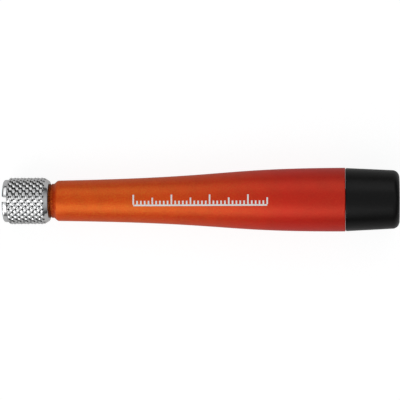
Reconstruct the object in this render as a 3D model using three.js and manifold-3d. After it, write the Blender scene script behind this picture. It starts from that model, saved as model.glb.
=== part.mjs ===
// A pin vise: a small hand drill for model making. A knurled nut closes a four-jaw collet on a drill
// shank, a tapered handle carries it, and a cap on a ball bearing turns freely in the palm.
//
// Millimetres, +Z up. The tool lies along X with its nose towards -X. Outlines are lists of
// [station, radius] points, where a station is a distance from the nose along the turning axis. The
// group at the end moves the origin to the middle of that axis.
import * as THREE from "three";
import { mergeVertices } from "three/addons/utils/BufferGeometryUtils.js";
import Module from "manifold-3d";

const wasm = await Module();
wasm.setup();

// ---- driving dimensions ----

const LENGTH = 104; // nose face to the end of the cap
const SIDES = 32; // facets around every turned surface
const FACET = (2 * Math.PI) / SIDES;
const GAP = 0.05; // clearance between neighbouring pieces

const NOSE = { rear: 1.25, radius: 5.6, corner: 0.35, shankRear: 5, shankRadius: 4.9, countersink: 0.35 };
const NOSE_LIP = { front: 4.66, radius: 3.25 }; // catches the back of the collet's head
const SLOT = { width: 1.5, depth: 1.35, turn: THREE.MathUtils.degToRad(-5.5) };
const NUT = {
  front: 1.3,
  frontRadius: 5.65,
  frontBevel: 0.45,
  radius: 6.17,
  rearBevel: 1.5,
  rearRadius: 5.2,
  rear: 12.05,
};
const NUT_BORE = { socketRear: 5.2, relief: 4.3, rear: 4.2 };
const THREAD = {
  pitch: 1,
  crest: 3.94,
  root: 3.4,
  crestHalf: 0.09,
  front: 5.3,
  rear: 11.45,
  start: 4.4,
  turns: 8,
};
const NUT_THREAD = { front: 5.8, rear: 11.15, bore: 3.47, crest: 4.06, start: 5.4, turns: 6.5 };
const THREAD_SLOPE = Math.tan(THREE.MathUtils.degToRad(30)); // each flank leans 30 degrees
const COLLET = { front: 0.9, rear: 17, nose: 2.3, head: 3.6, headRear: 4.6, neck: 3, stem: 2.5, bore: 1.5 };
const COLLET_SEAT = { front: 5.3, rear: 6.3 }; // the taper behind the jaws, which centres in the spigot
const JAW_SLOT = { width: 0.5, rear: 11 };
const CONE = { front: 1.6, rear: 4.2 }; // the closing taper, on the collet and in the nose ring
const HOLDER = { shoulder: 3.95, shank: 3.45, rear: 31, seat: 3.06, bore: 2.6 };
const HANDLE = { front: 12.1, rear: 89.88, neck: 4.5, full: 8.34, corner: 0.35, bore: 2.75 };
const NECK_GROOVE = { station: 12.54, radius: 4.15, half: 0.2 };
const NECK_CHAMFER = { front: 13.3, rear: 14.2, radius: 5.26 };
const SWELL = [[14.5, 5.33], [60.8, 6.08], [55.7, 8.32], [HANDLE.rear - HANDLE.corner, HANDLE.full]];
const REAR_BORE = { front: 79, radius: 5 };
const PLUG = { rear: 89.45, bevel: 0.4 };
const CAP = { front: 90.08, radius: 8.27, rearRadius: 7.67, frontCorner: 0.3, rearCorner: 1.9, mouth: 3.9 };
const CAP_POCKET = { front: 97.4, radius: 5 };
const DISC = { front: 102.5, lip: 101.6, lipRadius: 4.9, radius: 5.5 };
const BEARING = { front: 92, rear: 96, inner: 2.03, innerLand: 2.85, outerLand: 3.75, outer: 4.5 };
const BALL = { radius: 0.65, count: 7, station: 94, pitchRadius: 3.3 };
const CAGE = { inner: 3.05, outer: 3.55, front: 92.7, rear: 95.3 };
const SNAP_RING = { front: 96.05, rear: 96.75, inner: 3.9, outer: 5, opening: 3 };
const PIVOT = { front: 82, thread: 1.5, shoulder: 2, head: 2.9, headRear: 97.6 };
const HEX_SOCKET = { depth: 1, radius: 1.15 };

// ---- materials ----

const metal = (color, roughness) => new THREE.MeshStandardMaterial({ color, roughness, metalness: 1 });
const chrome = () => metal(0xc9cacc, 0.25);
const steel = () => metal(0x9a9c9f, 0.35);
const brass = () => metal(0xb8964c, 0.4);
const anodised = () => new THREE.MeshStandardMaterial({ color: 0xb8381c, roughness: 0.42, metalness: 0.7 });
const blackPlastic = () => new THREE.MeshStandardMaterial({ color: 0x161615, roughness: 0.6 });
const paleNylon = () => new THREE.MeshStandardMaterial({ color: 0xd8d2c0, roughness: 0.55 });

// ---- solids ----

/** Makes a closed solid from a three.js geometry. */
function solidFrom(geometry) {
  geometry.deleteAttribute("normal");
  geometry.deleteAttribute("uv");
  const merged = mergeVertices(geometry, 1e-4);
  const corners = merged.index.array;
  const triangles = [];
  for (let i = 0; i < corners.length; i += 3) {
    const [a, b, c] = corners.slice(i, i + 3);
    if (a !== b && b !== c && c !== a) triangles.push(a, b, c);
  }
  const vertProperties = new Float32Array(merged.attributes.position.array);
  const mesh = new wasm.Mesh({ numProp: 3, vertProperties, triVerts: new Uint32Array(triangles) });
  return new wasm.Manifold(mesh);
}

/** Makes the three.js geometry of a solid. */
function geometryFrom(solid) {
  const { vertProperties, triVerts } = solid.getMesh();
  const geometry = new THREE.BufferGeometry();
  geometry.setAttribute("position", new THREE.BufferAttribute(vertProperties, 3));
  geometry.setIndex(new THREE.BufferAttribute(triVerts, 1));
  geometry.computeVertexNormals();
  return geometry;
}

/** Turns an outline that starts and ends on the axis. It runs along the outside, nose to tail. */
function turned(outline) {
  const points = outline.map(([station, radius]) => new THREE.Vector2(radius, station));
  const geometry = new THREE.LatheGeometry(points, SIDES, FACET / 2);
  return solidFrom(geometry.rotateZ(-Math.PI / 2));
}

/** Turns an outline that closes on itself: outside from nose to tail, then back along the bore. */
function turnedRing(outline) {
  return turned([...outline, outline[0]]);
}

/** The points of a rounded outside corner, from one angle to another about its centre. */
function corner(station, radius, size, fromDegrees, toDegrees, steps = 4) {
  return Array.from({ length: steps + 1 }, (_, step) => {
    const degrees = fromDegrees + ((toDegrees - fromDegrees) * step) / steps;
    const angle = THREE.MathUtils.degToRad(degrees);
    return [station + size * Math.cos(angle), radius + size * Math.sin(angle)];
  });
}

/** A flat blade through the axis, for sawing a slot in from the nose. */
function slotBlade(width, rear, turn) {
  const reach = 2; // past the nose, so that the cut is clean
  const blade = new THREE.BoxGeometry(rear + reach, width, 4 * NUT.radius);
  blade.translate((rear - reach) / 2, 0, 0);
  return solidFrom(blade.rotateX(turn));
}

/** Saws two crossed slots through a piece, each rear millimetres deep from the nose. */
function crossSlotted(solid, width, rear, turn) {
  return solid
    .subtract(slotBlade(width, rear, turn))
    .subtract(slotBlade(width, rear, turn + Math.PI / 2));
}

/** A right-handed ridge wound about the axis, with a trapezium for its section. */
function helicalRidge({ start, turns, base, crest, baseHalf, crestHalf }) {
  const section = [[-baseHalf, base], [-crestHalf, crest], [crestHalf, crest], [baseHalf, base]];
  const positions = [];
  const index = [];
  for (let step = 0; step <= turns * SIDES; step += 1) {
    const angle = (step + 0.5) * FACET;
    const station = start + (step / SIDES) * THREAD.pitch;
    for (const [offset, radius] of section) {
      positions.push(station + offset, radius * Math.cos(angle), radius * Math.sin(angle));
    }
  }
  for (let step = 0; step < turns * SIDES; step += 1) {
    for (let side = 0; side < 4; side += 1) {
      const [a, b] = [step * 4 + side, step * 4 + ((side + 1) % 4)];
      index.push(a, a + 4, b, b, a + 4, b + 4);
    }
  }
  const last = turns * SIDES * 4;
  index.push(0, 1, 2, 0, 2, 3, last, last + 2, last + 1, last, last + 3, last + 2);
  const geometry = new THREE.BufferGeometry();
  geometry.setAttribute("position", new THREE.Float32BufferAttribute(positions, 3));
  return solidFrom(geometry.setIndex(index));
}

// ---- chuck ----

/** Half the width of the spigot's thread ridge at a radius. */
function threadHalf(radius) {
  return THREAD.crestHalf + (THREAD.crest - radius) * THREAD_SLOPE;
}

/** The thread groove inside the nut, which the spigot's thread fits with a running clearance. */
function nutThread() {
  const { start, turns, crest } = NUT_THREAD;
  return helicalRidge({
    start,
    turns,
    base: THREAD.root,
    crest,
    baseHalf: threadHalf(THREAD.root) + GAP,
    crestHalf: threadHalf(crest) + GAP,
  });
}

function chuckNut() {
  const socket = NOSE.shankRadius + GAP;
  const body = turnedRing([
    [NUT.front, socket],
    [NUT.front, NUT.frontRadius],
    [NUT.front + NUT.frontBevel, NUT.radius],
    [NUT.rear - NUT.rearBevel, NUT.radius],
    [NUT.rear, NUT.rearRadius],
    [NUT.rear, NUT_BORE.rear],
    [NUT_THREAD.rear, NUT_BORE.rear],
    [NUT_THREAD.rear, NUT_THREAD.bore],
    [NUT_THREAD.front, NUT_THREAD.bore],
    [NUT_THREAD.front, NUT_BORE.relief],
    [NUT_BORE.socketRear, NUT_BORE.relief],
    [NUT_BORE.socketRear, socket],
  ]);
  return body.subtract(nutThread());
}

/** Pressed into the nut. Its cone closes the jaws, and the lip behind them draws the collet out. */
function noseRing() {
  const clearance = 0.08;
  const mouth = COLLET.nose + clearance;
  const room = COLLET.head + clearance;
  const body = turnedRing([
    [0, mouth + NOSE.countersink],
    ...corner(NOSE.corner, NOSE.radius - NOSE.corner, NOSE.corner, 180, 90),
    [NOSE.rear, NOSE.radius],
    [NOSE.rear, NOSE.shankRadius],
    [NOSE.shankRear, NOSE.shankRadius],
    [NOSE.shankRear, NOSE_LIP.radius],
    [NOSE_LIP.front, NOSE_LIP.radius],
    [NOSE_LIP.front, room],
    [CONE.rear, room],
    [CONE.front, mouth],
    [NOSE.countersink, mouth],
  ]);
  return crossSlotted(body, SLOT.width, SLOT.depth, SLOT.turn);
}

function collet() {
  const edge = 0.2;
  const body = turnedRing([
    [COLLET.front, COLLET.bore + edge],
    [COLLET.front, COLLET.nose - edge],
    [COLLET.front + edge, COLLET.nose],
    [CONE.front, COLLET.nose],
    [CONE.rear, COLLET.head],
    [COLLET.headRear, COLLET.head],
    [COLLET.headRear, COLLET.neck],
    [COLLET_SEAT.front, COLLET.neck],
    [COLLET_SEAT.rear, COLLET.stem],
    [COLLET.rear, COLLET.stem],
    [COLLET.rear, COLLET.bore],
    [COLLET.front + edge, COLLET.bore],
  ]);
  return crossSlotted(body, JAW_SLOT.width, JAW_SLOT.rear, FACET / 2);
}

/** The spigot's thread ridge, with its first and last turns bevelled. */
function spigotThread() {
  const base = THREAD.root - GAP;
  const bevel = THREAD.crest - THREAD.root;
  const ridge = helicalRidge({
    start: THREAD.start,
    turns: THREAD.turns,
    base,
    crest: THREAD.crest,
    baseHalf: threadHalf(base),
    crestHalf: THREAD.crestHalf,
  });
  const [front, rear] = [THREAD.front + GAP, THREAD.rear - GAP];
  const envelope = turned([
    [front, 0],
    [front, base],
    [front + bevel, THREAD.crest + GAP],
    [rear - bevel, THREAD.crest + GAP],
    [rear, base],
    [rear, 0],
  ]);
  return ridge.intersect(envelope);
}

function colletHolder() {
  const shoulderRear = HANDLE.front - GAP;
  const seatDepth = 2 * (HOLDER.seat - HOLDER.bore); // the seat follows the back of the collet, 1 in 2
  const body = turnedRing([
    [THREAD.front, HOLDER.seat],
    [THREAD.front, THREAD.root],
    [THREAD.rear, THREAD.root],
    [THREAD.rear, HOLDER.shoulder],
    [shoulderRear, HOLDER.shoulder],
    [shoulderRear, HOLDER.shank],
    [HOLDER.rear, HOLDER.shank],
    [HOLDER.rear, HOLDER.bore],
    [THREAD.front + seatDepth, HOLDER.bore],
  ]);
  return body.add(spigotThread());
}

// ---- handle ----

/** The long swell of the handle, from the slim end behind the nut to the full end at the cap. */
function handleSwell() {
  const swell = new THREE.CubicBezierCurve(...SWELL.map((place) => new THREE.Vector2(...place)));
  return swell.getPoints(20).map((point) => [point.x, point.y]);
}

function handleBody() {
  const edge = 0.15;
  const { station, radius, half } = NECK_GROOVE;
  const spigotBore = { radius: HOLDER.shank + GAP, rear: HOLDER.rear + 4 * GAP };
  return turnedRing([
    [HANDLE.front, spigotBore.radius],
    [HANDLE.front, HANDLE.neck - edge],
    [HANDLE.front + edge, HANDLE.neck],
    [station - half, HANDLE.neck],
    [station, radius],
    [station + half, HANDLE.neck],
    [NECK_CHAMFER.front, HANDLE.neck],
    [NECK_CHAMFER.rear, NECK_CHAMFER.radius],
    ...handleSwell(),
    ...corner(HANDLE.rear - HANDLE.corner, HANDLE.full - HANDLE.corner, HANDLE.corner, 90, 0, 3),
    [HANDLE.rear, REAR_BORE.radius],
    [REAR_BORE.front, REAR_BORE.radius],
    [REAR_BORE.front, HANDLE.bore],
    [spigotBore.rear, HANDLE.bore],
    [spigotBore.rear, spigotBore.radius],
  ]);
}

/** Pressed into the back of the handle, and tapped for the pivot screw. */
function endPlug() {
  const { rear, bevel } = PLUG;
  const radius = REAR_BORE.radius - GAP;
  const front = REAR_BORE.front + GAP;
  const hole = PIVOT.thread + GAP;
  return turned([
    [front, 0],
    [front, radius - bevel],
    [front + bevel, radius],
    [rear - bevel, radius],
    [rear, radius - bevel],
    [rear, hole],
    [PIVOT.front - bevel, hole],
    [PIVOT.front - bevel, 0],
  ]);
}

// ---- swivel cap and its bearing ----

/** A shoulder screw that holds the inner race, with a hexagon socket in its head. */
function pivotScrew() {
  const shoulderFront = PLUG.rear + GAP;
  const headFront = BEARING.rear + GAP;
  const bevel = 0.3;
  const body = turned([
    [PIVOT.front, 0],
    [PIVOT.front, PIVOT.thread - bevel],
    [PIVOT.front + bevel, PIVOT.thread],
    [shoulderFront, PIVOT.thread],
    [shoulderFront, PIVOT.shoulder],
    [headFront, PIVOT.shoulder],
    [headFront, PIVOT.head],
    [PIVOT.headRear - bevel, PIVOT.head],
    [PIVOT.headRear, PIVOT.head - bevel],
    [PIVOT.headRear, 0],
  ]);
  const { radius, depth } = HEX_SOCKET;
  const key = new THREE.CylinderGeometry(radius, radius, 2 * depth, 6);
  key.rotateZ(-Math.PI / 2).translate(PIVOT.headRear, 0, 0);
  return body.subtract(solidFrom(key));
}

/** Keeps the inner race clear of the handle. */
function spacerWasher() {
  const bore = BEARING.inner;
  const [front, rear] = [PLUG.rear + 2 * GAP, BEARING.front - GAP];
  return turnedRing([[front, bore], [front, PIVOT.head], [rear, PIVOT.head], [rear, bore]]);
}

/** The ball groove in a race whose land has this radius, a little larger than the balls. */
function ballGroove(land) {
  const size = BALL.radius + 0.6 * GAP;
  const half = THREE.MathUtils.radToDeg(Math.acos(Math.abs(land - BALL.pitchRadius) / size));
  const middle = land < BALL.pitchRadius ? 270 : 90;
  return corner(BALL.station, BALL.pitchRadius, size, middle - half, middle + half, 5);
}

function innerRace() {
  return turnedRing([
    [BEARING.front, BEARING.inner],
    [BEARING.front, BEARING.innerLand],
    ...ballGroove(BEARING.innerLand),
    [BEARING.rear, BEARING.innerLand],
    [BEARING.rear, BEARING.inner],
  ]);
}

function outerRace() {
  return turnedRing([
    [BEARING.front, BEARING.outerLand],
    [BEARING.front, BEARING.outer],
    [BEARING.rear, BEARING.outer],
    [BEARING.rear, BEARING.outerLand],
    ...ballGroove(BEARING.outerLand),
  ]);
}

/** The middle of each ball, evenly round the pivot. */
function ballPlaces() {
  return Array.from({ length: BALL.count }, (_, number) => {
    const angle = (number / BALL.count) * 2 * Math.PI;
    const [y, z] = [Math.cos(angle), Math.sin(angle)].map((part) => part * BALL.pitchRadius);
    return new THREE.Vector3(BALL.station, y, z);
  });
}

/** A plain ring with square corners. */
function plainRing({ front, rear, inner, outer }) {
  return turnedRing([[front, inner], [front, outer], [rear, outer], [rear, inner]]);
}

/** Holds the balls apart, each in a round pocket. */
function bearingCage() {
  const pocket = BALL.radius + 2.6 * GAP;
  const cut = (solid, { x, y, z }) => solid.subtract(
    solidFrom(new THREE.SphereGeometry(pocket, 12, 8).translate(x, y, z)),
  );
  return ballPlaces().reduce(cut, plainRing(CAGE));
}

/** The snap ring behind the outer race, open over an eighth of its round. */
function retainingRing() {
  const { front, outer, opening } = SNAP_RING;
  const gap = new THREE.BoxGeometry(opening, opening, opening).translate(front, 0, -outer);
  return plainRing(SNAP_RING).subtract(solidFrom(gap));
}

function swivelCap() {
  const seat = BEARING.outer + GAP;
  const seatFront = BEARING.front - 2 * GAP;
  const grooveRadius = SNAP_RING.outer + GAP;
  const [grooveFront, grooveRear] = [SNAP_RING.front - GAP, SNAP_RING.rear + GAP];
  const { frontCorner, rearCorner } = CAP;
  const recess = { front: DISC.front - GAP, radius: DISC.radius + GAP };
  return turnedRing([
    [CAP.front, CAP.mouth],
    ...corner(CAP.front + frontCorner, CAP.radius - frontCorner, frontCorner, 180, 90, 3),
    ...corner(LENGTH - rearCorner, CAP.rearRadius - rearCorner, rearCorner, 90, 0, 6),
    [LENGTH, recess.radius],
    [recess.front, recess.radius],
    [recess.front, CAP_POCKET.radius],
    [CAP_POCKET.front, CAP_POCKET.radius],
    [CAP_POCKET.front, seat],
    [grooveRear, seat],
    [grooveRear, grooveRadius],
    [grooveFront, grooveRadius],
    [grooveFront, seat],
    [seatFront, seat],
    [seatFront, CAP.mouth],
  ]);
}

/** Closes the back of the cap and is its flat end. */
function capEndDisc() {
  const edge = 0.15;
  return turned([
    [DISC.lip, 0],
    [DISC.lip, DISC.lipRadius],
    [DISC.front, DISC.lipRadius],
    [DISC.front, DISC.radius],
    [LENGTH - edge, DISC.radius],
    [LENGTH, DISC.radius - edge],
    [LENGTH, 0],
  ]);
}

// ---- assembly ----

const tool = new THREE.Group();
tool.position.x = -LENGTH / 2;

function add(name, solid, material) {
  const mesh = new THREE.Mesh(geometryFrom(solid), material);
  mesh.name = name;
  tool.add(mesh);
}

function addBall(place, number) {
  const mesh = new THREE.Mesh(new THREE.SphereGeometry(BALL.radius, 14, 10), steel());
  mesh.name = `bearing_ball_${number + 1}`;
  mesh.position.copy(place);
  tool.add(mesh);
}

add("chuck_nut", chuckNut(), chrome());
add("nose_ring", noseRing(), chrome());
add("collet", collet(), steel());
add("collet_holder", colletHolder(), steel());
add("handle_body", handleBody(), anodised());
add("end_plug", endPlug(), brass());
add("pivot_screw", pivotScrew(), steel());
add("spacer_washer", spacerWasher(), steel());
add("bearing_inner_race", innerRace(), steel());
add("bearing_outer_race", outerRace(), steel());
add("bearing_cage", bearingCage(), paleNylon());
ballPlaces().forEach(addBall);
add("retaining_ring", retainingRing(), steel());
add("swivel_cap", swivelCap(), blackPlastic());
add("cap_end_disc", capEndDisc(), blackPlastic());

const pinVise = new THREE.Group();
pinVise.add(tool);

export default pinVise;
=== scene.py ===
"""A pin vise on a pale studio floor: a knurled chrome nut, an anodised handle and a black swivel cap.

Every piece is worked out in millimetres as stations, distances from the nose along the turning axis, and
radii, and is moved into the frame, in metres, as it is finished. Angles run about +X from +Y towards +Z.
"""
import math

import bmesh
import bpy
import numpy as np
from mathutils import Matrix, Vector


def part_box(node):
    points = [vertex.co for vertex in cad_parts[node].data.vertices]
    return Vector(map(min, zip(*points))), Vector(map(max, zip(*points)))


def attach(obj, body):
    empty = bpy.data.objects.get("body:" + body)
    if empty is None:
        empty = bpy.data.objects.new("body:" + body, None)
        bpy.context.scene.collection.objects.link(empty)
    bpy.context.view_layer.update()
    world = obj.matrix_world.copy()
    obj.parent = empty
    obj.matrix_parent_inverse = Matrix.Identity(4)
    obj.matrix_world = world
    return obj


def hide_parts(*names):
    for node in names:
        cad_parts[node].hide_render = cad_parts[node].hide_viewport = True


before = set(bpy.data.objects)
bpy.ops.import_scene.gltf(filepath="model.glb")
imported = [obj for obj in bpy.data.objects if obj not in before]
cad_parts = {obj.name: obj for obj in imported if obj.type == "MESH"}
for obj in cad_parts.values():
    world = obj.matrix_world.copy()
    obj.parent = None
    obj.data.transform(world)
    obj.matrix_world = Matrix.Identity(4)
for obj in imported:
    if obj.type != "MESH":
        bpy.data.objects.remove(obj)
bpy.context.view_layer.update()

MM = 0.001
CAD_SIDES = 32  # facets around the CAD's turned surfaces, which lie inside the true radius
SIDES = 160  # facets around a turned surface here
NOSE_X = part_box("nose_ring")[0].x


def span(node):
    """The front station, rear station and radius of a turned CAD node, in millimetres."""
    low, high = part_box(node)
    radius = high.z / math.cos(math.pi / CAD_SIDES)
    return [round(size / MM, 3) for size in (low.x - NOSE_X, high.x - NOSE_X, radius)]


# ---- sizes, from the frame where it holds them ----

NOSE_FRONT, NOSE_SHANK_REAR, NOSE_RADIUS = span("nose_ring")
NUT_FRONT, NUT_REAR, NUT_RADIUS = span("chuck_nut")
COLLET_FRONT, COLLET_REAR, COLLET_HEAD = span("collet")
HOLDER_FRONT, HOLDER_REAR, HOLDER_SHOULDER = span("collet_holder")
HANDLE_FRONT, HANDLE_REAR, HANDLE_RADIUS = span("handle_body")
CAP_FRONT, CAP_REAR, CAP_RADIUS = span("swivel_cap")
DISC_FRONT, DISC_REAR, DISC_RADIUS = span("cap_end_disc")

NOSE_FLANGE_REAR = 1.25
NOSE_CORNER = 0.55
NOSE_SLOTS = (1.5, 1.35, math.radians(-5.5))  # the width, rear station and turn of the crossed slots
JAW_SLITS = (0.5, 11, math.pi / CAD_SIDES)
CONE_FRONT, CONE_REAR = 1.6, 4.2  # the closing taper, on the collet's head and in the nose ring
NUT_FRONT_OUTLINE = (5.65, 0.45)  # the radius at the front face and the length of the bevel behind it
NUT_REAR_OUTLINE = (5.2, 1.5)
NECK_RADIUS = 4.5
NECK_GROOVE = (12.54, 4.15, 0.2)  # the middle, radius and half width of the groove in the collar
NECK_CHAMFER = ((13.3, NECK_RADIUS), (14.2, 5.26))
THREAD_REAR = 11.45

THREAD_PITCH = 1.0
THREAD_ROOT = 3.4
THREAD_CREST = 3.94
THREAD_CREST_HALF = 0.09
THREAD_SLOPE = math.tan(math.radians(30))
THREAD_START = 4.4 - 0.5 / CAD_SIDES  # a station where the ridge's middle crosses angle 0
NUT_THREAD_BORE = 3.47
NUT_THREAD_CREST = 4.06
THREAD_CLEARANCE = 0.05  # between the flanks, along the axis

KNURL_ROUND = 22  # diamonds around the nut
KNURL_PITCH = 1.797  # along the axis
KNURL_DEPTHS = (0.27, 0.42)  # of the left-hand grooves and of the right-hand ones
KNURL_START = 2.82  # the station and angle of one crossing of two grooves
KNURL_TURN = math.radians(55.2)
KNURL_STEPS = 16  # samples across a diamond

SHARP_ANGLE = math.radians(38)  # edges sharper than this aren't shaded smooth
BEVEL_ANGLE = math.radians(50)  # edges sharper than this are softened after a cut


# ---- outlines ----

def bent_corner(before, here, after, size, steps=4):
    """The points of a rounded corner that cuts size off each side of it."""
    sides = [np.subtract(end, here) for end in (before, after)]
    starts = [here + side * min(0.45, size / np.linalg.norm(side)) for side in sides]
    shares = np.linspace(0, 1, steps + 1)[:, None]
    return (1 - shares) ** 2 * starts[0] + 2 * shares * (1 - shares) * here + shares**2 * starts[1]


def rounded(outline):
    """The outline's points, with every corner that gives a third number rounded by that much."""
    points = []
    for index, (station, radius, *size) in enumerate(outline):
        here = np.array((station, radius), float)
        if not size:
            points.append(here)
            continue
        before = outline[index - 1][:2]
        after = outline[(index + 1) % len(outline)][:2]
        points.extend(bent_corner(before, here, after, size[0]))
    return np.array(points)


def arc(centre, radius, steps=10):
    """Points of a round corner from its outermost point to its rearmost one, without the first."""
    angles = np.linspace(math.pi / 2, 0, steps + 1)[1:]
    return [(centre[0] + radius * math.cos(angle), centre[1] + radius * math.sin(angle)) for angle in angles]


def fine(start, end, step):
    """Points no more than step apart on a straight line, without its last point."""
    count = max(1, math.ceil(math.dist(start, end) / step - 1e-6))
    return [tuple(point) for point in np.linspace(start, end, count, endpoint=False)]


# ---- meshes ----

def turned(outline, sides=SIDES, relief=None, loop=True):
    """A closed skin turned about the axis. relief(stations, radii, angles) may reshape its radii."""
    points = rounded(outline)
    angles = np.arange(sides) * 2 * math.pi / sides
    stations, radii = points[:, :1], points[:, 1:]
    grid = np.broadcast_to(radii, (len(points), sides)).copy()
    if relief:
        grid = relief(stations, radii, angles[None, :])
    along = np.broadcast_to(stations, grid.shape)
    places = np.stack([along, grid * np.cos(angles), grid * np.sin(angles)], axis=-1).reshape(-1, 3)
    rings = len(points) if loop else len(points) - 1
    ring, side = np.meshgrid(np.arange(rings), np.arange(sides), indexing="ij")
    next_ring, next_side = (ring + 1) % len(points), (side + 1) % sides
    corners = [ring * sides + side, next_ring * sides + side,
               next_ring * sides + next_side, ring * sides + next_side]
    mesh = bpy.data.meshes.new("turned")
    mesh.from_pydata(places, [], np.stack(corners, axis=-1).reshape(-1, 4).tolist())
    cleaned(mesh)
    return mesh


def cleaned(mesh):
    """Joins the points that meet on the axis and turns every face outwards."""
    work = bmesh.new()
    work.from_mesh(mesh)
    bmesh.ops.remove_doubles(work, verts=work.verts, dist=1e-4)
    bmesh.ops.dissolve_degenerate(work, edges=work.edges, dist=1e-5)
    bmesh.ops.recalc_face_normals(work, faces=work.faces)
    work.to_mesh(mesh)
    work.free()


def block(low, high, turn):
    """A cutting block between two corners, turned about the axis."""
    mesh = bpy.data.meshes.new("block")
    work = bmesh.new()
    size, middle = Vector(high) - Vector(low), (Vector(high) + Vector(low)) / 2
    place = Matrix.Rotation(turn, 4, "X") @ Matrix.Translation(middle) @ Matrix.Diagonal((*size, 1))
    bmesh.ops.create_cube(work, size=1, matrix=place)
    work.to_mesh(mesh)
    work.free()
    return mesh


def applied(mesh, add_modifiers):
    """The mesh with modifiers applied to it."""
    holder = bpy.data.objects.new("work", mesh)
    bpy.context.scene.collection.objects.link(holder)
    add_modifiers(holder)
    depsgraph = bpy.context.evaluated_depsgraph_get()
    result = bpy.data.meshes.new_from_object(holder.evaluated_get(depsgraph))
    bpy.data.objects.remove(holder)
    return result


def cut(mesh, cutters, edge):
    """The mesh less each cutter, with its sharp edges softened by edge."""
    for cutter in cutters:
        tool = bpy.data.objects.new("cutter", cutter)
        bpy.context.scene.collection.objects.link(tool)

        def subtract(holder, tool=tool):
            boolean = holder.modifiers.new("cut", "BOOLEAN")
            boolean.operation, boolean.solver, boolean.object = "DIFFERENCE", "EXACT", tool

        mesh = applied(mesh, subtract)
        bpy.data.objects.remove(tool)

    def soften(holder):
        bevel = holder.modifiers.new("edge", "BEVEL")
        bevel.width, bevel.segments, bevel.limit_method = edge, 2, "ANGLE"
        bevel.angle_limit = BEVEL_ANGLE
        bevel.use_clamp_overlap = True

    return applied(mesh, soften)


def crossed_slots(width, rear, turn):
    """Blocks for two crossed slots through the axis, from before the nose back to a station."""
    front, reach = -1, 2 * NUT_RADIUS
    return [block((front, -width / 2, -reach), (rear, width / 2, reach), turn + quarter)
            for quarter in (0, math.pi / 2)]


def piece(name, mesh, body, material, *nodes, slot):
    """Moves a mesh into the frame as an object that rides on a body and stands for CAD nodes."""
    mesh.transform(Matrix.Translation((NOSE_X, 0, 0)) @ Matrix.Scale(MM, 4))
    mesh.shade_smooth()
    mesh.set_sharp_from_angle(angle=SHARP_ANGLE)
    mesh.materials.clear()
    mesh.materials.append(material)
    made = bpy.data.objects.new(name, mesh)
    bpy.context.scene.collection.objects.link(made)
    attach(made, body)
    if nodes:
        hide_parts(*nodes)


# ---- materials ----

class Shader:
    """A node material built round one Principled shader."""

    def __init__(self, name, **sockets):
        self.material = bpy.data.materials.new(name)
        self.material.use_nodes = True
        self.tree = self.material.node_tree
        self.surface = self.tree.nodes["Principled BSDF"]
        self.place = self.add("ShaderNodeTexCoord").outputs["Object"]
        self.set(self.surface, sockets)

    def set(self, node, sockets):
        """Sets sockets by name: a value is set, and another node's output is linked."""
        for key, value in sockets.items():
            socket = node.inputs[key.replace("_", " ")]
            if isinstance(value, bpy.types.NodeSocket):
                self.tree.links.new(value, socket)
            else:
                socket.default_value = value

    def add(self, kind, options=None, **sockets):
        """Adds a node, with its options as a dictionary and its sockets by name."""
        node = self.tree.nodes.new(kind)
        for key, value in (options or {}).items():
            setattr(node, key, value)
        self.set(node, sockets)
        return node

    def noise(self, size_mm, detail, stretch=(1, 1, 1)):
        """Noise with grains about size_mm across, drawn out by stretch."""
        scale = [1 / (size_mm * MM * part) for part in stretch]
        mapping = self.add("ShaderNodeMapping", Vector=self.place, Scale=scale)
        return self.add("ShaderNodeTexNoise", Vector=mapping.outputs[0], Scale=1.0,
                        Detail=detail).outputs["Fac"]

    def ramp(self, value, *stops):
        """A colour ramp through (position, colour) stops."""
        ramp = self.add("ShaderNodeValToRGB", Fac=value)
        band = ramp.color_ramp
        while len(band.elements) < len(stops):
            band.elements.new(0.5)
        for element, (position, colour) in zip(band.elements, stops):
            element.position, element.color = position, (*colour, 1)
        return ramp.outputs["Color"]

    def span(self, value, low, high, start=0.0, end=1.0):
        """Maps a value from start..end to low..high."""
        node = self.add("ShaderNodeMapRange", Value=value)
        for key, number in (("From Min", start), ("From Max", end), ("To Min", low), ("To Max", high)):
            node.inputs[key].default_value = number
        return node.outputs["Result"]

    def mix(self, factor, first, second):
        """The first colour at factor 0, going over to the second at factor 1."""
        node = self.add("ShaderNodeMix", {"data_type": "RGBA", "blend_type": "MIX"})
        for index, value in ((0, factor), (6, first), (7, second)):
            if isinstance(value, bpy.types.NodeSocket):
                self.tree.links.new(value, node.inputs[index])
            else:
                node.inputs[index].default_value = value
        return node.outputs[2]

    def bump(self, height, depth_mm):
        """The normal of a surface roughened by a height from 0 to 1."""
        node = self.add("ShaderNodeBump", Height=height, Distance=depth_mm * MM, Strength=1.0)
        return node.outputs["Normal"]

    def finish(self, **sockets):
        """Sets the last sockets of the Principled shader and gives the material."""
        self.set(self.surface, sockets)
        return self.material


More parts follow.
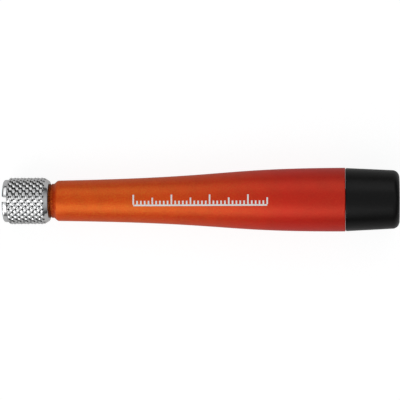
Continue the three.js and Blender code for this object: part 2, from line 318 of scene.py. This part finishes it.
def anodised():
    """Satin dyed aluminium with a blasted grain: painted shade at the neck, orange behind it and red at the
    cap.
    """
    shader = Shader("anodised_aluminium", Metallic=0.2, IOR=1.92, Coat_Weight=0.03, Coat_Roughness=0.3)
    along = shader.add("ShaderNodeSeparateXYZ", Vector=shader.place).outputs["X"]
    front, rear = NOSE_X + HANDLE_FRONT * MM, NOSE_X + HANDLE_REAR * MM
    fade = shader.span(along, 0, 1, front, rear)
    # The first stops are painted shade: a near-black painted shadow line just behind the nut, then the
    # collar darkened as if in shadow.
    dye_and_neck_shade = shader.ramp(
        fade,
        (0.003, (0.008, 0.0, 0.0)),
        (0.006, (0.24, 0.006, 0.002)),
        (0.014, (0.30, 0.008, 0.002)),
        (0.026, (0.86, 0.022, 0.001)),
        (0.35, (0.84, 0.014, 0.001)),
        (0.7, (0.76, 0.002, 0.003)),
        (1.0, (0.62, 0.001, 0.003)),
    )
    grain = shader.noise(0.34, detail=3)
    cloud = shader.noise(3.0, detail=2)
    fleck = shader.ramp(fade, (0.3, (0.90, 0.16, 0.012)), (0.8, (0.72, 0.03, 0.008)))
    colour = shader.mix(shader.span(grain, 0.0, 0.5, 0.38, 0.7), dye_and_neck_shade, fleck)
    colour = shader.mix(shader.span(cloud, 0.0, 0.12, 0.4, 0.7), colour, (0.25, 0.01, 0.005, 1))
    normal = shader.bump(grain, 0.02)
    gloss = shader.span(fade, 0.12, 0.5, 0.016, 0.026)
    sheen = shader.ramp(fade, (0.3, (1.0, 0.98, 0.18)), (0.8, (1.0, 0.42, 0.22)))
    return shader.finish(Base_Color=colour, Roughness=shader.span(grain, 0.34, 0.46), Normal=normal,
                         Specular_IOR_Level=gloss, Specular_Tint=sheen)


def chrome():
    """Bright plating, duller in the knurl's valleys, with painted shade darkening the crossings of its
    grooves.
    """
    shader = Shader("chrome_plate", Metallic=1.0)
    valley = shader.add("ShaderNodeAttribute", {"attribute_name": "valley"}).outputs["Fac"]
    smear = shader.noise(1.4, detail=4)
    scratch = shader.noise(0.05, detail=2, stretch=(1, 14, 14))
    bright = shader.mix(shader.span(smear, 0, 1, 0.35, 0.7), (0.95, 0.95, 0.94, 1), (0.84, 0.845, 0.85, 1))
    # Painted shade: the crossings of the knurl's grooves go near black.
    colour = shader.mix(shader.span(valley, 0, 1, 0.34, 0.72), bright, (0.02, 0.02, 0.02, 1))
    dull = shader.span(valley, 0.0, 0.2, 0.3, 0.9)
    rough = shader.add("ShaderNodeMath", {"operation": "ADD"})
    shader.tree.links.new(dull, rough.inputs[0])
    shader.tree.links.new(shader.span(smear, 0.10, 0.22), rough.inputs[1])
    return shader.finish(Base_Color=colour, Roughness=rough.outputs[0], Normal=shader.bump(scratch, 0.003))


def steel(name="ground_steel", tint=(0.56, 0.57, 0.58), shade=(0.42, 0.43, 0.44)):
    """Turned metal with fine tool marks round the axis and a mottled polish."""
    shader = Shader(name, Metallic=1.0)
    marks = shader.noise(0.06, detail=2, stretch=(1, 30, 30))
    cloud = shader.noise(1.2, detail=3)
    colour = shader.mix(cloud, (*tint, 1), (*shade, 1))
    normal = shader.bump(marks, 0.006)
    return shader.finish(Base_Color=colour, Roughness=shader.span(cloud, 0.2, 0.38), Normal=normal)


def black_plastic():
    """Moulded black nylon with a fine matte grain, slightly rubbed in places."""
    shader = Shader("black_plastic", Specular_IOR_Level=0.2)
    grain = shader.noise(0.3, detail=3)
    rubbed = shader.noise(5.0, detail=3)
    colour = shader.mix(shader.span(grain, 0, 1, 0.35, 0.7), (0.0006, 0.0006, 0.0005, 1),
                        (0.0034, 0.0033, 0.0030, 1))
    normal = shader.bump(grain, 0.035)
    return shader.finish(Base_Color=colour, Roughness=shader.span(rubbed, 0.27, 0.37, 0.3, 0.7),
                         Normal=normal)


def pale_nylon():
    """Natural nylon, a little cloudy."""
    shader = Shader("natural_nylon", Subsurface_Weight=0.15, Subsurface_Radius=(0.0006, 0.0005, 0.0004))
    cloud = shader.noise(0.8, detail=3)
    colour = shader.mix(cloud, (0.72, 0.69, 0.60, 1), (0.62, 0.58, 0.48, 1))
    return shader.finish(Base_Color=colour, Roughness=shader.span(cloud, 0.4, 0.55),
                         Normal=shader.bump(cloud, 0.02))


def white_print():
    """Printed white ink, thin in places."""
    shader = Shader("white_ink")
    speck = shader.noise(0.15, detail=3)
    colour = shader.mix(shader.span(speck, 0, 1, 0.55, 0.8), (0.95, 0.94, 0.91, 1), (0.84, 0.74, 0.68, 1))
    return shader.finish(Base_Color=colour, Roughness=shader.span(speck, 0.4, 0.6),
                         Normal=shader.bump(speck, 0.004))


def floor_paper():
    """Paper with a faint tooth, glowing more to the camera than to the tool, so that it looks white."""
    shader = Shader("floor_paper", Roughness=0.9, Emission_Color=(1, 1, 1, 1))
    seen = shader.add("ShaderNodeLightPath").outputs["Is Camera Ray"]
    tooth = shader.noise(0.6, detail=4)
    colour = shader.mix(tooth, (0.18, 0.18, 0.18, 1), (0.22, 0.22, 0.22, 1))
    return shader.finish(Base_Color=colour, Emission_Strength=shader.span(seen, 0.28, 0.88),
                         Normal=shader.bump(tooth, 0.02))


CHROME = chrome()
STEEL = steel()
BRASS = steel("turned_brass", (0.66, 0.48, 0.20), (0.55, 0.38, 0.15))
ANODISED = anodised()
BLACK = black_plastic()
NYLON = pale_nylon()
INK = white_print()


# ---- chuck ----

def knurl_grooves(stations, angles):
    """How deep each place is in each family of knurl grooves: 0 outside them, 1 along their middles."""
    around = KNURL_ROUND * (angles - KNURL_TURN) / (2 * math.pi)
    along = (stations - KNURL_START) / KNURL_PITCH
    groove_half = 0.48  # of the pitch, so that each diamond keeps a narrow flat top
    families = [around + along, around - along]
    return [np.clip(1 - abs(lines - np.round(lines)) / groove_half, 0, 1) for lines in families]


def thread_offset(stations, angles):
    """The distance along the axis to the middle of the nearest turn of the thread ridge."""
    turns = (stations - THREAD_START) / THREAD_PITCH - angles / (2 * math.pi)
    return abs(turns - np.round(turns)) * THREAD_PITCH


def threaded(stations, angles, low, high, crest_half):
    """Radii of a thread between low and high, whose ridge is crest_half each side of its middle at high."""
    beyond = np.maximum(thread_offset(stations, angles) - crest_half, 0)
    return np.clip(high - beyond / THREAD_SLOPE, low, high)


def nut_relief(stations, radii, angles):
    """Knurls the outside of the nut and threads its bore."""
    depths = [depth * lines for depth, lines in zip(KNURL_DEPTHS, knurl_grooves(stations, angles))]
    knurled = NUT_RADIUS - np.maximum(*depths)
    crest_half = THREAD_CREST_HALF + (THREAD_CREST - NUT_THREAD_CREST) * THREAD_SLOPE + THREAD_CLEARANCE
    grooved = threaded(stations, angles, NUT_THREAD_BORE, NUT_THREAD_CREST, crest_half)
    plain = np.broadcast_to(radii, grooved.shape)
    outside = HOLDER_SHOULDER + 1  # a radius larger than the bore's and smaller than the knurl's
    result = np.where(radii > outside, np.minimum(plain, knurled), plain)
    return np.where(radii < NUT_THREAD_BORE + 0.01, grooved, result)


def chuck_nut():
    """The nut's outside is sampled finely for the knurl, and its bore for the thread."""
    step = KNURL_PITCH / KNURL_STEPS
    front_radius, front_bevel = NUT_FRONT_OUTLINE
    rear_radius, rear_bevel = NUT_REAR_OUTLINE
    bevel_rear, bevel_start = NUT_FRONT + front_bevel, NUT_REAR - rear_bevel
    socket, socket_rear, relief, rear_bore = 4.95, 5.2, 4.3, 4.2
    thread_front, thread_rear = 5.8, 11.15
    outline = [
        (NUT_FRONT, socket, 0.05),
        *fine((NUT_FRONT, front_radius), (bevel_rear, NUT_RADIUS), step / 2),
        *fine((bevel_rear, NUT_RADIUS), (bevel_start, NUT_RADIUS), step),
        *fine((bevel_start, NUT_RADIUS), (NUT_REAR - 0.08, rear_radius + 0.07), step / 2),
        (NUT_REAR, rear_radius, 0.06),
        (NUT_REAR, rear_bore, 0.08),
        (thread_rear, rear_bore),
        *fine((thread_rear, NUT_THREAD_BORE), (thread_front, NUT_THREAD_BORE), THREAD_PITCH / 16),
        (thread_front, relief),
        (socket_rear, relief),
        (socket_rear, socket),
    ]
    mesh = turned(outline, sides=KNURL_ROUND * KNURL_STEPS, relief=nut_relief)
    mark_valleys(mesh)
    return mesh


def mark_valleys(mesh):
    """Stores how far each point lies in a crossing of two grooves, for the plating's painted shade and
    roughness.
    """
    places = np.zeros(len(mesh.vertices) * 3)
    mesh.vertices.foreach_get("co", places)
    along, y, z = places.reshape(-1, 3).T
    crossing = np.minimum(*knurl_grooves(along, np.arctan2(z, y)))
    outside, rear_edge = NUT_RADIUS - 1.2 * max(KNURL_DEPTHS), NUT_REAR - 0.9
    knurled = (np.hypot(y, z) > outside) & (along < rear_edge)
    valley = mesh.attributes.new("valley", "FLOAT", "POINT")
    valley.data.foreach_set("value", np.where(knurled, crossing, 0))


def nose_ring():
    """The slotted nose, with the closing cone and the draw-out lip inside."""
    shank, mouth, room, lip = 4.9, 2.38, 3.68, 3.25
    countersink, lip_front = 0.35, 4.66
    body = turned([
        (NOSE_FRONT, mouth + countersink, 0.05),
        (NOSE_FRONT, NOSE_RADIUS, NOSE_CORNER),
        (NOSE_FLANGE_REAR, NOSE_RADIUS, 0.1),
        (NOSE_FLANGE_REAR, shank, 0.04),
        (NOSE_SHANK_REAR, shank, 0.15),
        (NOSE_SHANK_REAR, lip, 0.08),
        (lip_front, lip, 0.05),
        (lip_front, room, 0.05),
        (CONE_REAR, room, 0.05),
        (CONE_FRONT, mouth, 0.1),
        (countersink, mouth, 0.05),
    ])
    return cut(body, crossed_slots(*NOSE_SLOTS), edge=0.07)


def collet():
    """Four jaws on a stem that is slit most of the way."""
    bore, nose, neck, stem = 1.5, 2.3, 3.0, 2.5
    head_rear, seat_front, seat_rear = 4.6, 5.3, 6.3
    body = turned([
        (COLLET_FRONT, bore, 0.12),
        (COLLET_FRONT, nose, 0.2),
        (CONE_FRONT, nose, 0.1),
        (CONE_REAR, COLLET_HEAD, 0.12),
        (head_rear, COLLET_HEAD, 0.06),
        (head_rear, neck, 0.06),
        (seat_front, neck, 0.1),
        (seat_rear, stem, 0.2),
        (COLLET_REAR, stem, 0.2),
        (COLLET_REAR, bore, 0.1),
    ], sides=96)
    return cut(body, crossed_slots(*JAW_SLITS), edge=0.04)


def holder_relief(stations, radii, angles):
    """Threads the spigot, with its first and last turns bevelled."""
    margin = 0.05
    ridge = threaded(stations, angles, THREAD_ROOT, THREAD_CREST, THREAD_CREST_HALF)
    ends = THREAD_ROOT - margin + np.minimum(stations - HOLDER_FRONT, THREAD_REAR - stations)
    threads = np.clip(np.minimum(ridge, ends), THREAD_ROOT, None)
    plain = np.broadcast_to(radii, threads.shape)
    on_thread = (abs(radii - THREAD_ROOT) < 0.01) & (stations < THREAD_REAR - margin)
    return np.where(on_thread, threads, plain)


def collet_holder():
    """The spigot between collet and handle. Its threaded part is sampled finely."""
    seat, seat_rear, shank, bore = 3.06, 6.22, 3.45, 2.6
    shoulder_rear = HANDLE_FRONT - 0.05
    outline = [
        (HOLDER_FRONT, seat, 0.05),
        *fine((HOLDER_FRONT, THREAD_ROOT), (THREAD_REAR, THREAD_ROOT), THREAD_PITCH / 20),
        (THREAD_REAR, THREAD_ROOT),
        (THREAD_REAR, HOLDER_SHOULDER, 0.08),
        (shoulder_rear, HOLDER_SHOULDER, 0.05),
        (shoulder_rear, shank),
        (HOLDER_REAR, shank, 0.3),
        (HOLDER_REAR, bore, 0.1),
        (seat_rear, bore, 0.1),
    ]
    return turned(outline, sides=128, relief=holder_relief)


# ---- handle ----

HANDLE_CORNER = 0.35
SWELL = [(14.5, 5.33), (60.8, 6.08), (55.7, 8.32), (HANDLE_REAR - HANDLE_CORNER, HANDLE_RADIUS)]


def swell_point(share):
    """A point of the handle's long curve, a cubic Bezier with SWELL as its control points."""
    a, b, c, d = (np.array(point, float) for point in SWELL)
    rest = 1 - share
    return rest**3 * a + 3 * rest**2 * share * b + 3 * rest * share**2 * c + share**3 * d


def handle_body():
    """The handle: collar, groove and land at its neck, then the long swell."""
    swell = [tuple(swell_point(share)) for share in np.linspace(0, 1, 61)]
    groove, groove_radius, half = NECK_GROOVE
    spigot_bore, spigot_bore_rear, bore = 3.5, 31.2, 2.75
    plug_bore, plug_bore_front = 5.0, 79
    return turned([
        (HANDLE_FRONT, spigot_bore, 0.1),
        (HANDLE_FRONT, NECK_RADIUS, 0.15),
        (groove - half, NECK_RADIUS, 0.04),
        (groove - half / 3, groove_radius, 0.04),
        (groove + half / 3, groove_radius, 0.04),
        (groove + half, NECK_RADIUS, 0.06),
        (*NECK_CHAMFER[0], 0.15),
        (*NECK_CHAMFER[1], 0.2),
        *swell,
        (HANDLE_REAR, HANDLE_RADIUS, HANDLE_CORNER),
        (HANDLE_REAR, plug_bore, 0.1),
        (plug_bore_front, plug_bore),
        (plug_bore_front, bore),
        (spigot_bore_rear, bore),
        (spigot_bore_rear, spigot_bore),
    ], sides=192)


def swell_radius(station):
    """The handle's radius at a station of its long curve."""
    points = np.array([swell_point(share) for share in np.linspace(0, 1, 400)])
    return float(np.interp(station, points[:, 0], points[:, 1]))


def ink_patch(front, rear, low, high):
    """A thin patch of ink on the handle, from one station to another and one arc distance to another."""
    lift, thickness = 0.004, 0.02
    station_step, arc_step = 2, 0.25
    stations = np.linspace(front, rear, max(2, math.ceil((rear - front) / station_step) + 1))
    columns = []
    for station in stations:
        skin = swell_radius(station)
        arcs = np.linspace(low, high, max(3, math.ceil((high - low) / arc_step) + 1)) / skin
        for radius in (skin + lift, skin + lift + thickness):
            columns.append([(station, radius * math.sin(arc), radius * math.cos(arc)) for arc in arcs])
    return columns


def scale_marks():
    """A printed millimetre scale along the side of the handle that lies uppermost."""
    start, length, stroke = 34.7, 35, 0.42
    base, gap = -1.5, 0.02
    long_tick, middle_tick, short_tick = 3.0, 2.2, 1.4
    work = bmesh.new()
    marks = [(start, start + length, base, base + stroke)]
    for tick in range(length + 1):
        height = long_tick if tick % 10 == 0 else middle_tick if tick % 5 == 0 else short_tick
        middle = start + tick
        marks.append((middle - stroke / 2, middle + stroke / 2, base + stroke + gap, base + height))
    for mark in marks:
        add_patch(work, ink_patch(*mark))
    mesh = bpy.data.meshes.new("scale_marks")
    bmesh.ops.recalc_face_normals(work, faces=work.faces)
    work.to_mesh(mesh)
    work.free()
    return mesh


def add_patch(work, columns):
    """Adds a closed plate from pairs of inner and outer columns of points."""
    grid = [[work.verts.new(point) for point in column] for column in columns]
    inner, outer = grid[0::2], grid[1::2]
    last = len(inner) - 1
    rows = len(inner[0]) - 1
    for i in range(last):
        for j in range(rows):
            for skin in (inner, outer):
                work.faces.new((skin[i][j], skin[i + 1][j], skin[i + 1][j + 1], skin[i][j + 1]))
        for j in (0, rows):
            work.faces.new((inner[i][j], inner[i + 1][j], outer[i + 1][j], outer[i][j]))
    for i in (0, last):
        for j in range(rows):
            work.faces.new((inner[i][j], inner[i][j + 1], outer[i][j + 1], outer[i][j]))


# ---- swivel cap ----

def swivel_cap():
    """The cap's shell: a lip that closes the seam, a bearing seat, a snap-ring groove and a rear pocket."""
    rear_radius, rear_corner, mouth = 7.67, 1.9, 3.9
    lip_front, lip_radius = HANDLE_REAR + 0.03, 8.1
    seat, seat_front, seat_rear = 4.55, 91.9, 97.4
    groove, groove_front, groove_rear = 5.05, 96.0, 96.8
    pocket, pocket_front, throat = 5.55, DISC_FRONT + 0.85, 5.0
    return turned([
        (lip_front, mouth, 0.1),
        (lip_front, lip_radius, 0.05),
        (CAP_FRONT, lip_radius),
        (CAP_FRONT, CAP_RADIUS, 0.3),
        (CAP_REAR - rear_corner, rear_radius),
        *arc((CAP_REAR - rear_corner, rear_radius - rear_corner), rear_corner),
        (CAP_REAR, pocket, 0.06),
        (pocket_front, pocket),
        (pocket_front, throat),
        (seat_rear, throat),
        (seat_rear, seat),
        (groove_rear, seat),
        (groove_rear, groove),
        (groove_front, groove),
        (groove_front, seat),
        (seat_front, seat),
        (seat_front, mouth, 0.1),
    ], sides=192)


def cap_end_disc():
    """The pressed-in disc, very slightly dished, with a moulding mark at its middle."""
    plug, flange_front, rim = 4.9, DISC_FRONT + 0.9, 4.7
    dish, dish_front = 4.5, DISC_REAR - 0.05
    mark_rim, mark, mark_front = 0.9, 0.8, DISC_REAR - 0.12
    return turned([
        (DISC_FRONT, 0),
        (DISC_FRONT, plug, 0.1),
        (flange_front, plug),
        (flange_front, DISC_RADIUS, 0.05),
        (DISC_REAR, DISC_RADIUS, 0.18),
        (DISC_REAR, rim, 0.1),
        (dish_front, dish, 0.1),
        (dish_front, mark_rim, 0.05),
        (mark_front, mark, 0.05),
        (mark_front, 0),
    ], loop=False)


# ---- assembly ----

piece("chuck_nut_knurled", chuck_nut(), "chuck_nut", CHROME, "chuck_nut", slot="chrome")
piece("nose_ring_slotted", nose_ring(), "chuck_nut", CHROME, "nose_ring", slot="chrome")
piece("collet_jaws", collet(), "collet", STEEL, "collet", slot="steel")
piece("collet_spigot", collet_holder(), "handle", STEEL, "collet_holder", slot="steel")
piece("handle_shell", handle_body(), "handle", ANODISED, "handle_body", slot="anodised_aluminium")
piece("handle_scale_marks", scale_marks(), "handle", INK, slot="anodised_aluminium")
piece("cap_shell", swivel_cap(), "cap", BLACK, "swivel_cap", slot="black_plastic")
piece("cap_disc", cap_end_disc(), "cap", BLACK, "cap_end_disc", slot="black_plastic")

for name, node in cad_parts.items():
    if node.hide_render:
        continue
    material = {"end_plug": BRASS, "bearing_cage": NYLON}.get(name, STEEL)
    node.data.materials.clear()
    node.data.materials.append(material)
    node.data.shade_smooth()
    node.data.set_sharp_from_angle(angle=SHARP_ANGLE)


# ---- studio ----

def floor_level():
    """The slope of the floor that touches the nut and the swell, and the place and height of one point."""
    nut_edge = NUT_FRONT + NUT_FRONT_OUTLINE[1]
    slope = (HANDLE_RADIUS - NUT_RADIUS) / (SWELL[-1][0] - nut_edge)
    swell = [swell_point(share) for share in np.linspace(0, 1, 100)]
    outline = [*swell, (nut_edge, NUT_RADIUS)]
    reach = max(radius - slope * (station - nut_edge) for station, radius in outline)
    return slope, NOSE_X + nut_edge * MM, -reach * MM


def floor():
    """The floor leans by a degree and a half, because the frame keeps the tool's axis level."""
    slope, start, height = floor_level()
    mesh = bpy.data.meshes.new("floor")
    half = 3.0
    corners = [(x, y, height - slope * (x - start)) for x, y in
               ((-half, -half), (half, -half), (half, half), (-half, half))]
    mesh.from_pydata(corners, [], [(0, 1, 2, 3)])
    mesh.materials.append(floor_paper())
    made = bpy.data.objects.new("floor", mesh)
    bpy.context.scene.collection.objects.link(made)


def softbox(name, place, size, power):
    """A rectangular lamp at a place, facing the tool."""
    lamp = bpy.data.lights.new(name, "AREA")
    lamp.shape, lamp.size, lamp.size_y = "RECTANGLE", *size
    lamp.energy = power
    made = bpy.data.objects.new(name, lamp)
    made.location = place
    made.rotation_euler = (-Vector(place)).to_track_quat("-Z", "Y").to_euler()
    bpy.context.scene.collection.objects.link(made)


def sky():
    """Soft light from above that fades to dark at the horizon and past the nose.

    The camera sees a pale backdrop instead.
    """
    world = bpy.data.worlds.new("studio")
    world.use_nodes = True
    tree = world.node_tree
    light = tree.nodes["Background"]
    place = tree.nodes.new("ShaderNodeTexCoord").outputs["Generated"]
    direction = tree.nodes.new("ShaderNodeSeparateXYZ")
    rise, side = (tree.nodes.new("ShaderNodeMapRange") for _ in range(2))
    for ramp, limits in ((rise, (0.1, 0.7, 0.02, 0.6)), (side, (-0.8, -0.15, 0.03, 1.0))):
        for key, value in zip(("From Min", "From Max", "To Min", "To Max"), limits):
            ramp.inputs[key].default_value = value
    strength = tree.nodes.new("ShaderNodeMath")
    strength.operation = "MULTIPLY"
    backdrop = tree.nodes.new("ShaderNodeBackground")
    backdrop.inputs["Strength"].default_value = 0.95
    path = tree.nodes.new("ShaderNodeLightPath")
    mix = tree.nodes.new("ShaderNodeMixShader")
    for start, end in (
        (place, direction.inputs[0]),
        (direction.outputs["Z"], rise.inputs["Value"]),
        (direction.outputs["X"], side.inputs["Value"]),
        (rise.outputs["Result"], strength.inputs[0]),
        (side.outputs["Result"], strength.inputs[1]),
        (strength.outputs[0], light.inputs["Strength"]),
        (path.outputs["Is Camera Ray"], mix.inputs[0]),
        (light.outputs[0], mix.inputs[1]),
        (backdrop.outputs[0], mix.inputs[2]),
        (mix.outputs[0], tree.nodes["World Output"].inputs["Surface"]),
    ):
        tree.links.new(start, end)
    for node, colour in ((light, (0.96, 0.98, 1.0, 1)), (backdrop, (1, 1, 1, 1))):
        node.inputs["Color"].default_value = colour
    bpy.context.scene.world = world


def studio():
    """The floor, the sky and three softboxes."""
    floor()
    sky()
    softbox("key_softbox", (-0.25, -0.42, 0.50), (0.7, 0.45), 1.33)
    softbox("back_softbox", (0.0, 0.62, 0.40), (0.9, 0.6), 1.0)
    softbox("side_softbox", (-0.50, -0.62, 0.2), (0.5, 0.2), 0.8)
    bpy.context.scene.view_settings.view_transform = "Standard"


def camera():
    """Looks down from above the rear of the handle, six lengths up, at the middle of the tool."""
    place, aim = Vector((0.0385, 0.0, 0.612)), Vector((-0.00023, 0.00006, 0.0))
    pixels, focal_pixels, roll = 400, 2333.8, math.radians(-0.24)
    reach = place - aim
    lens = bpy.data.cameras.new("camera")
    lens.sensor_width = 36
    lens.lens = lens.sensor_width * focal_pixels / pixels
    lens.clip_start, lens.clip_end = 0.05, 20
    made = bpy.data.objects.new("camera", lens)
    lean = Matrix.Rotation(math.atan2(reach.x, reach.z), 4, "Y") @ Matrix.Rotation(roll, 4, "Z")
    made.matrix_world = Matrix.Translation((place.x, aim.y, place.z)) @ lean
    bpy.context.scene.collection.objects.link(made)
    bpy.context.scene.camera = made


studio()
camera()
